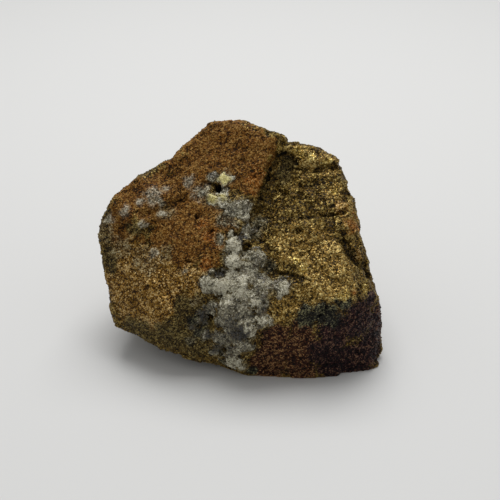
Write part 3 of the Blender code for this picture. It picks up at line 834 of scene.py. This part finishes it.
def milky_quartz():
    """Massive quartz: glassy grey where it is clear, white where it is full of tiny cracks and
    bubbles, with a pale yellow stain at its upper end. Each of its chips is smooth and a little
    waxy."""
    material, tree, shader = new_material("milky_quartz")
    place = add(tree, "ShaderNodeTexCoord").outputs["Object"]
    cloud = add(tree, "ShaderNodeTexNoise", {"Vector": place, "Scale": 1 / CLOUD, "Detail": 4.0,
                                             "Roughness": 0.6}).outputs[0]
    fleck = add(tree, "ShaderNodeTexNoise", {"Vector": place, "Scale": 1 / QUARTZ_FLECK,
                                             "Detail": 3.0}).outputs[0]
    cells = add(tree, "ShaderNodeTexVoronoi", {"Vector": place, "Scale": 1 / CHIP})
    grain = add(tree, "ShaderNodeSeparateXYZ", {0: cells.outputs["Color"]})

    # Growth bands: a smooth noise cut into steps, each of which starts with a thin dark line.
    band = add(tree, "ShaderNodeTexNoise", {"Vector": place, "Scale": 1 / GROWTH_BAND, "Detail": 2.0,
                                            "Distortion": 0.6}).outputs[0]
    band = add(tree, "ShaderNodeMath", {0: band, 1: 3.5}, operation="MULTIPLY").outputs[0]
    band = add(tree, "ShaderNodeMath", {0: band}, operation="FRACT").outputs[0]
    band = add(tree, "ShaderNodeValToRGB", {0: band}, stops=(
        (0.0, "#000000"), (0.12, "#a8a8a8"), (1.0, "#ffffff"))).outputs[0]

    # The tone runs from smoky to milky, and is darker where the skin is thin. Its hollows are painted
    # darker and its proud points lighter: painted shade and highlight.
    milk = add(tree, "ShaderNodeAttribute", attribute_name="milk").outputs["Fac"]
    share = add(tree, "ShaderNodeAttribute", attribute_name="vein").outputs["Fac"]
    thin = add(tree, "ShaderNodeMath", {0: share, 1: 0.5, 2: -0.45}, operation="MULTIPLY_ADD").outputs[0]
    tone = add(tree, "ShaderNodeMath", {0: milk, 1: thin}, operation="ADD").outputs[0]
    tone = summed(tree, tone, ((cloud, 1.1), (fleck, 0.9), (grain.outputs[0], 0.65), (band, 0.6)))
    proud = add(tree, "ShaderNodeAttribute", attribute_name="proud").outputs["Fac"]
    tone = add(tree, "ShaderNodeMath", {0: proud, 1: 0.9, 2: tone}, operation="MULTIPLY_ADD").outputs[0]
    colour = add(tree, "ShaderNodeValToRGB", {0: tone}, stops=(
        (0.0, "#1e1a0f"), (0.25, "#3d3828"), (0.5, "#625c48"), (0.75, "#868069"),
        (1.0, "#bfbaa3"))).outputs[0]
    stain = add(tree, "ShaderNodeAttribute", attribute_name="sulphur").outputs["Fac"]
    yellow = add(tree, "ShaderNodeValToRGB", {0: tone}, stops=(
        (0.2, "#463a14"), (0.6, "#9a8b44"), (1.0, "#d8cc86"))).outputs[0]
    colour = add(tree, "ShaderNodeMix", {0: stain, 6: colour, 7: yellow}, data_type="RGBA").outputs[2]

    # Thin rust in clouds, and specks of ore where the skin is thin.
    rust = summed(tree, -0.1, ((cloud, 1.6),))
    rust = add(tree, "ShaderNodeMath", {0: rust, 1: 0.0}, operation="MAXIMUM", use_clamp=True).outputs[0]
    colour = add(tree, "ShaderNodeMix", {0: rust, 6: colour, 7: linear(RUST_STAIN)},
                 data_type="RGBA").outputs[2]
    speck = add(tree, "ShaderNodeMath", {0: share, 1: -0.6, 2: grain.outputs[2]},
                operation="MULTIPLY_ADD")
    speck = summed(tree, speck.outputs[0], ((fleck, 1.5),))
    speck = add(tree, "ShaderNodeMapRange", {"Value": speck, "From Min": 0.2, "From Max": 0.4,
                                             "To Max": 0.8}).outputs[0]
    colour = add(tree, "ShaderNodeMix", {0: speck, 6: colour, 7: linear(ORE_SPECK)},
                 data_type="RGBA").outputs[2]

    # Every chip leans its own way and has a gloss of its own.
    rough = summed(tree, 0.28, ((grain.outputs[1], 0.3),))
    faces = add(tree, "ShaderNodeVectorMath", {0: cells.outputs["Color"], 1: HALF},
                operation="SUBTRACT").outputs[0]
    faces = add(tree, "ShaderNodeVectorMath", {0: faces, "Scale": CHIP_LEAN},
                operation="SCALE").outputs[0]
    normal = leaning_normal(tree, faces)
    shader.inputs["IOR"].default_value = 1.544
    shader.inputs["Specular IOR Level"].default_value = 0.5
    shader.inputs["Subsurface Weight"].default_value = 0.2
    shader.inputs["Subsurface Radius"].default_value = (1.0, 0.95, 0.85)
    shader.inputs["Subsurface Scale"].default_value = 0.8 * MM
    for socket, value in (("Base Color", colour), ("Roughness", rough), ("Normal", normal)):
        tree.links.new(value, shader.inputs[socket])
    return material


quartz = milky_quartz()
quartz_vein = new_object("quartz_vein", broken_ore.data.copy())
use_tree(quartz_vein, quartz_skin(), thickness=QUARTZ_THICKNESS, unevenness=QUARTZ_UNEVENNESS,
         highest_rise=QUARTZ_RISE, patch_length=QUARTZ_PATCH, hidden_edge=HIDDEN_EDGE, finish=quartz)
refined(quartz_vein, "SOLIDIFY", thickness=QUARTZ_DEPTH, offset=-1.0)
refined(quartz_vein, "REMESH", mode="VOXEL", voxel_size=QUARTZ_VOXEL)
drop_crumbs(quartz_vein.data, QUARTZ_CRUMB)
refined(quartz_vein, "SMOOTH", iterations=QUARTZ_SMOOTHING)
keep_zones(quartz_vein.data)
use_tree(quartz_vein, hackly, break_grain=QUARTZ_GRAIN, break_height=QUARTZ_BREAK, grain=QUARTZ_CHIP,
         grain_height=QUARTZ_CHIP_HEIGHT, ripple_length=QUARTZ_RIPPLE, ripple_height=QUARTZ_RIPPLE_HEIGHT,
         base_band=BASE_BAND, finish=quartz)
keep_milk(quartz_vein.data)
keep_proud(quartz_vein.data, passes=QUARTZ_PROUD_PASSES)
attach(quartz_vein, "root")
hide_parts("chalcopyrite_rock")

# --- Floor, light and camera ------------------------------------------------------------------
# A plain pale table top of matt laminate, in a bright room, under a wide soft lamp overhead and a
# little behind. The camera looks down on the stone's front.

FLOOR_HALF = 3.0
FLOOR_COLOUR = "#cacac9"
FLOOR_ROUGHNESS = 0.6
ROOM_COLOUR = "#fbfbfa"
ROOM_BRIGHTNESS = 0.5
LAMP_PLACE = Vector((0.02, 0.30, 0.75))
LAMP_POWER = 5.8
LAMP_SIZE = 0.6
ELEVATION = math.radians(30)
DISTANCE = 330 * MM
LENS = 71
AIM = Vector((2.92, -1.85, 29.0)) * MM

floor_mesh = bpy.data.meshes.new("floor")
floor_mesh.from_pydata([(-FLOOR_HALF, -FLOOR_HALF, 0), (FLOOR_HALF, -FLOOR_HALF, 0),
                        (FLOOR_HALF, FLOOR_HALF, 0), (-FLOOR_HALF, FLOOR_HALF, 0)], [], [(0, 1, 2, 3)])
floor = new_object("floor", floor_mesh)
floor.location.z = cad_box[0][2]
laminate, _, laminate_shader = new_material("pale_laminate")
laminate_shader.inputs["Base Color"].default_value = linear(FLOOR_COLOUR)
laminate_shader.inputs["Roughness"].default_value = FLOOR_ROUGHNESS
floor.data.materials.append(laminate)

room = bpy.data.worlds.new("room")
room.use_nodes = True
room.node_tree.nodes["Background"].inputs["Color"].default_value = linear(ROOM_COLOUR)
room.node_tree.nodes["Background"].inputs["Strength"].default_value = ROOM_BRIGHTNESS
bpy.context.scene.world = room

lamp_light = bpy.data.lights.new("ceiling_light", "AREA")
lamp_light.energy = LAMP_POWER
lamp_light.size = LAMP_SIZE
lamp = bpy.data.objects.new("ceiling_light", lamp_light)
bpy.context.scene.collection.objects.link(lamp)
lamp.location = LAMP_PLACE
lamp.rotation_euler = (AIM - LAMP_PLACE).to_track_quat("-Z", "Y").to_euler()

camera = bpy.data.objects.new("camera", bpy.data.cameras.new("camera"))
bpy.context.scene.collection.objects.link(camera)
camera.data.lens = LENS
back = Vector((0, -math.cos(ELEVATION), math.sin(ELEVATION)))
camera.location = AIM + back * DISTANCE
camera.rotation_euler = (-back).to_track_quat("-Z", "Y").to_euler()
bpy.context.scene.camera = camera
bpy.context.scene.view_settings.view_transform = "Standard"
